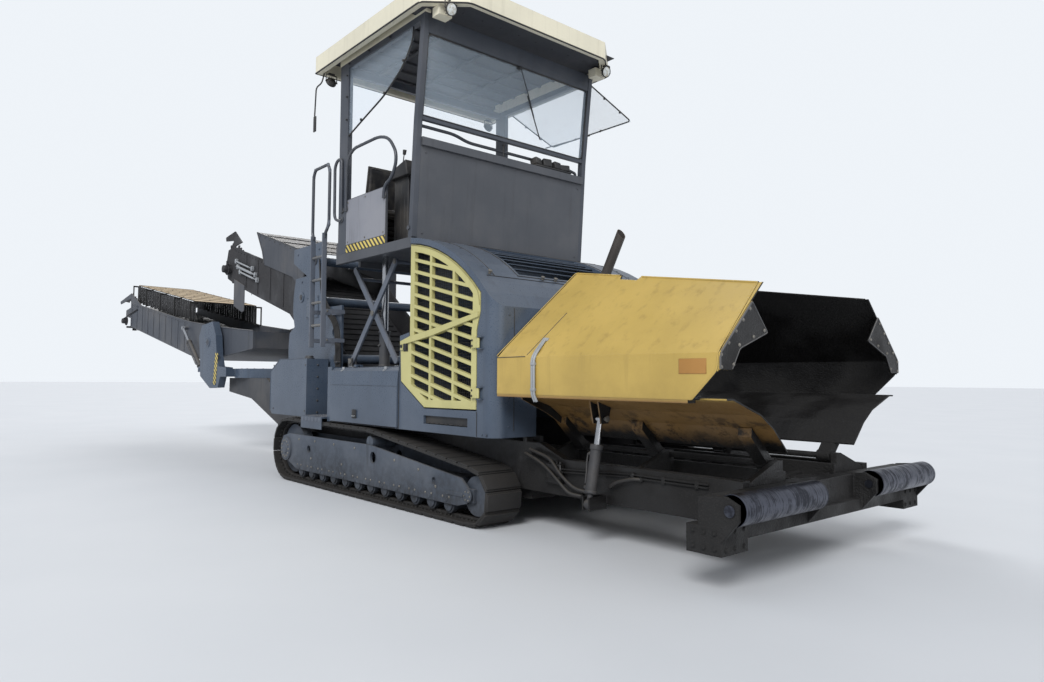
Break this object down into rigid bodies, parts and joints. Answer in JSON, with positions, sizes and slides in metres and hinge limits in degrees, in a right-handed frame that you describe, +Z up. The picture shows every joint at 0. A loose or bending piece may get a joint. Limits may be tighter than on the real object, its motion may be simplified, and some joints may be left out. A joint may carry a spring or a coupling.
{
  "type": "tracked asphalt feeder with swivelling conveyor",
  "caption": "Tracked road machine with a folding front hopper, hooded body, roofed operator platform on a scissor lift, and two rising conveyors, the rear one swivelling.",
  "frame": {"origin": "on the ground, in the middle of the outline seen from above", "axes": "+X to the front (hopper), +Y to the left side, +Z up; the centre line is at Y = -0.315 m"},
  "size_m": [16.6692, 3.6136, 5.394],
  "materials": {
    "body_paint": "worn blue-grey paint",
    "dark_steel": "dark paint",
    "coated_steel": "black, coated with asphalt",
    "grey_steel": "dusty grey paint",
    "yellow_paint": "golden yellow paint with wear",
    "lemon_paint": "pale yellow paint",
    "cream_paint": "cream paint",
    "bright_steel": "polished by use",
    "belt_rubber": "dull",
    "clear_glass": "clear",
    "black_plastic": "dull black",
    "tan_paint": "dusty tan"
  },
  "bodies": {
    "chassis": {"main_frame": "dark_steel", "track_right": "coated_steel", "track_left": "coated_steel", "track_frame_right": "grey_steel", "track_frame_left": "grey_steel", "push_beam": "dark_steel", "hopper_floor": "coated_steel", "engine_body": "body_paint", "engine_block": "dark_steel", "exhaust_pipe": "dark_steel", "side_tank_right": "body_paint", "side_tank_left": "body_paint", "rear_tower": "body_paint", "ladder": "grey_steel", "main_conveyor": "dark_steel", "main_belt": "belt_rubber", "head_hood": "body_paint", "lift_barrels": "dark_steel"},
    "platform": {"platform_floor": "body_paint", "cab_frame": "dark_steel", "cab_glass": "clear_glass", "cab_roof": "cream_paint", "seats": "black_plastic", "handrails": "dark_steel", "lift_rods": "bright_steel"},
    "yoke": {"swivel_yoke": "body_paint"},
    "luff_barrels": {"luff_barrels": "dark_steel"},
    "luff_rods": {"luff_rods": "bright_steel"},
    "boom": {"boom_frame": "grey_steel", "boom_belt": "belt_rubber", "boom_cover": "tan_paint"},
    "scissor_a": {"scissor_a": "grey_steel"},
    "scissor_b": {"scissor_b": "grey_steel"},
    "push_roller_right": {"push_roller_right": "bright_steel"},
    "wing_right": {"wing_right": "yellow_paint"},
    "wing_barrel_right": {"wing_barrel_right": "dark_steel"},
    "wing_rod_right": {"wing_rod_right": "bright_steel"},
    "grille_door_right": {"grille_door_right": "lemon_paint"},
    "side_cover_right": {"side_cover_right": "body_paint"},
    "push_roller_left": {"push_roller_left": "bright_steel"},
    "wing_left": {"wing_left": "yellow_paint"},
    "wing_barrel_left": {"wing_barrel_left": "dark_steel"},
    "wing_rod_left": {"wing_rod_left": "bright_steel"},
    "grille_door_left": {"grille_door_left": "lemon_paint"},
    "side_cover_left": {"side_cover_left": "body_paint"}
  },
  "joints": [
    {"name": "push_roller_right_spin", "type": "hinge", "parent": "chassis", "child": "push_roller_right", "pos_m": [8.25, -1.252, 0.537], "axis": [0, 1, 0], "continuous": true},
    {"name": "wing_right_fold", "type": "hinge", "parent": "chassis", "child": "wing_right", "pos_m": [6.97, -0.765, 0.72], "axis": [-1, 0, 0], "range_deg": [-12, 17]},
    {"name": "wing_barrel_right_swing", "type": "hinge", "parent": "chassis", "child": "wing_barrel_right", "pos_m": [6.71, -1.405, 0.335], "axis": [-1, 0, 0], "range_deg": [-4, 5]},
    {"name": "wing_rod_right_stroke", "type": "slide", "parent": "wing_barrel_right", "child": "wing_rod_right", "axis": [0, 0.1891, 0.982], "range_m": [-0.12, 0.17]},
    {"name": "grille_door_right_open", "type": "hinge", "parent": "chassis", "child": "grille_door_right", "pos_m": [5.594, -1.667, 1.38], "axis": [0, 0, 1], "range_deg": [0, 90]},
    {"name": "side_cover_right_open", "type": "hinge", "parent": "chassis", "child": "side_cover_right", "pos_m": [3.47, -1.427, 1.465], "axis": [-1, 0, 0], "range_deg": [0, 80]},
    {"name": "push_roller_left_spin", "type": "hinge", "parent": "chassis", "child": "push_roller_left", "pos_m": [8.25, 0.622, 0.537], "axis": [0, 1, 0], "continuous": true},
    {"name": "wing_left_fold", "type": "hinge", "parent": "chassis", "child": "wing_left", "pos_m": [6.97, 0.135, 0.72], "axis": [1, 0, 0], "range_deg": [-12, 17]},
    {"name": "wing_barrel_left_swing", "type": "hinge", "parent": "chassis", "child": "wing_barrel_left", "pos_m": [6.71, 0.775, 0.335], "axis": [1, 0, 0], "range_deg": [-4, 5]},
    {"name": "wing_rod_left_stroke", "type": "slide", "parent": "wing_barrel_left", "child": "wing_rod_left", "axis": [0, -0.1891, 0.982], "range_m": [-0.12, 0.17]},
    {"name": "grille_door_left_open", "type": "hinge", "parent": "chassis", "child": "grille_door_left", "pos_m": [5.594, 1.037, 1.38], "axis": [0, 0, -1], "range_deg": [0, 90]},
    {"name": "side_cover_left_open", "type": "hinge", "parent": "chassis", "child": "side_cover_left", "pos_m": [3.47, 0.797, 1.465], "axis": [1, 0, 0], "range_deg": [0, 80]},
    {"name": "platform_lift", "type": "slide", "parent": "chassis", "child": "platform", "axis": [0, 0, 1], "range_m": [-0.8, 0]},
    {"name": "scissor_a_turn", "type": "hinge", "parent": "chassis", "child": "scissor_a", "pos_m": [2.65, -0.315, 1.52], "axis": [0, -1, 0], "range_deg": [-37, 0]},
    {"name": "scissor_b_turn", "type": "hinge", "parent": "scissor_a", "child": "scissor_b", "pos_m": [3.135, -0.315, 2.08], "axis": [0, -1, 0], "range_deg": [0, 74]},
    {"name": "conveyor_swivel", "type": "hinge", "parent": "chassis", "child": "yoke", "pos_m": [-1.9, -0.315, 1.38], "axis": [0, 0, 1], "range_deg": [-59.5, 50.5]},
    {"name": "conveyor_luff", "type": "hinge", "parent": "yoke", "child": "boom", "pos_m": [-2.91686, -0.39503, 1.935], "axis": [-0.0785, 0.9969, 0], "range_deg": [-6, 10]},
    {"name": "luff_barrels_swing", "type": "hinge", "parent": "yoke", "child": "luff_barrels", "pos_m": [-3.33556, -0.42798, 1.45], "axis": [-0.0785, 0.9969, 0], "range_deg": [-7, 10.5]},
    {"name": "luff_rods_stroke", "type": "slide", "parent": "luff_barrels", "child": "luff_rods", "axis": [-0.7451, -0.0586, 0.6644], "range_m": [-0.08, 0.12]}
  ],
  "couplings": [
    {"joint": "wing_barrel_right_swing", "follows": "wing_right_fold", "ratio": 0.274},
    {"joint": "wing_rod_right_stroke", "follows": "wing_right_fold", "m_per_rad": 0.5556},
    {"joint": "wing_barrel_left_swing", "follows": "wing_left_fold", "ratio": 0.274},
    {"joint": "wing_rod_left_stroke", "follows": "wing_left_fold", "m_per_rad": 0.5556},
    {"joint": "scissor_a_turn", "follows": "platform_lift", "rad_per_m": 0.7992},
    {"joint": "scissor_b_turn", "follows": "platform_lift", "rad_per_m": -1.5984},
    {"joint": "luff_barrels_swing", "follows": "conveyor_luff", "ratio": 0.9931},
    {"joint": "luff_rods_stroke", "follows": "conveyor_luff", "m_per_rad": 0.6415}
  ]
}
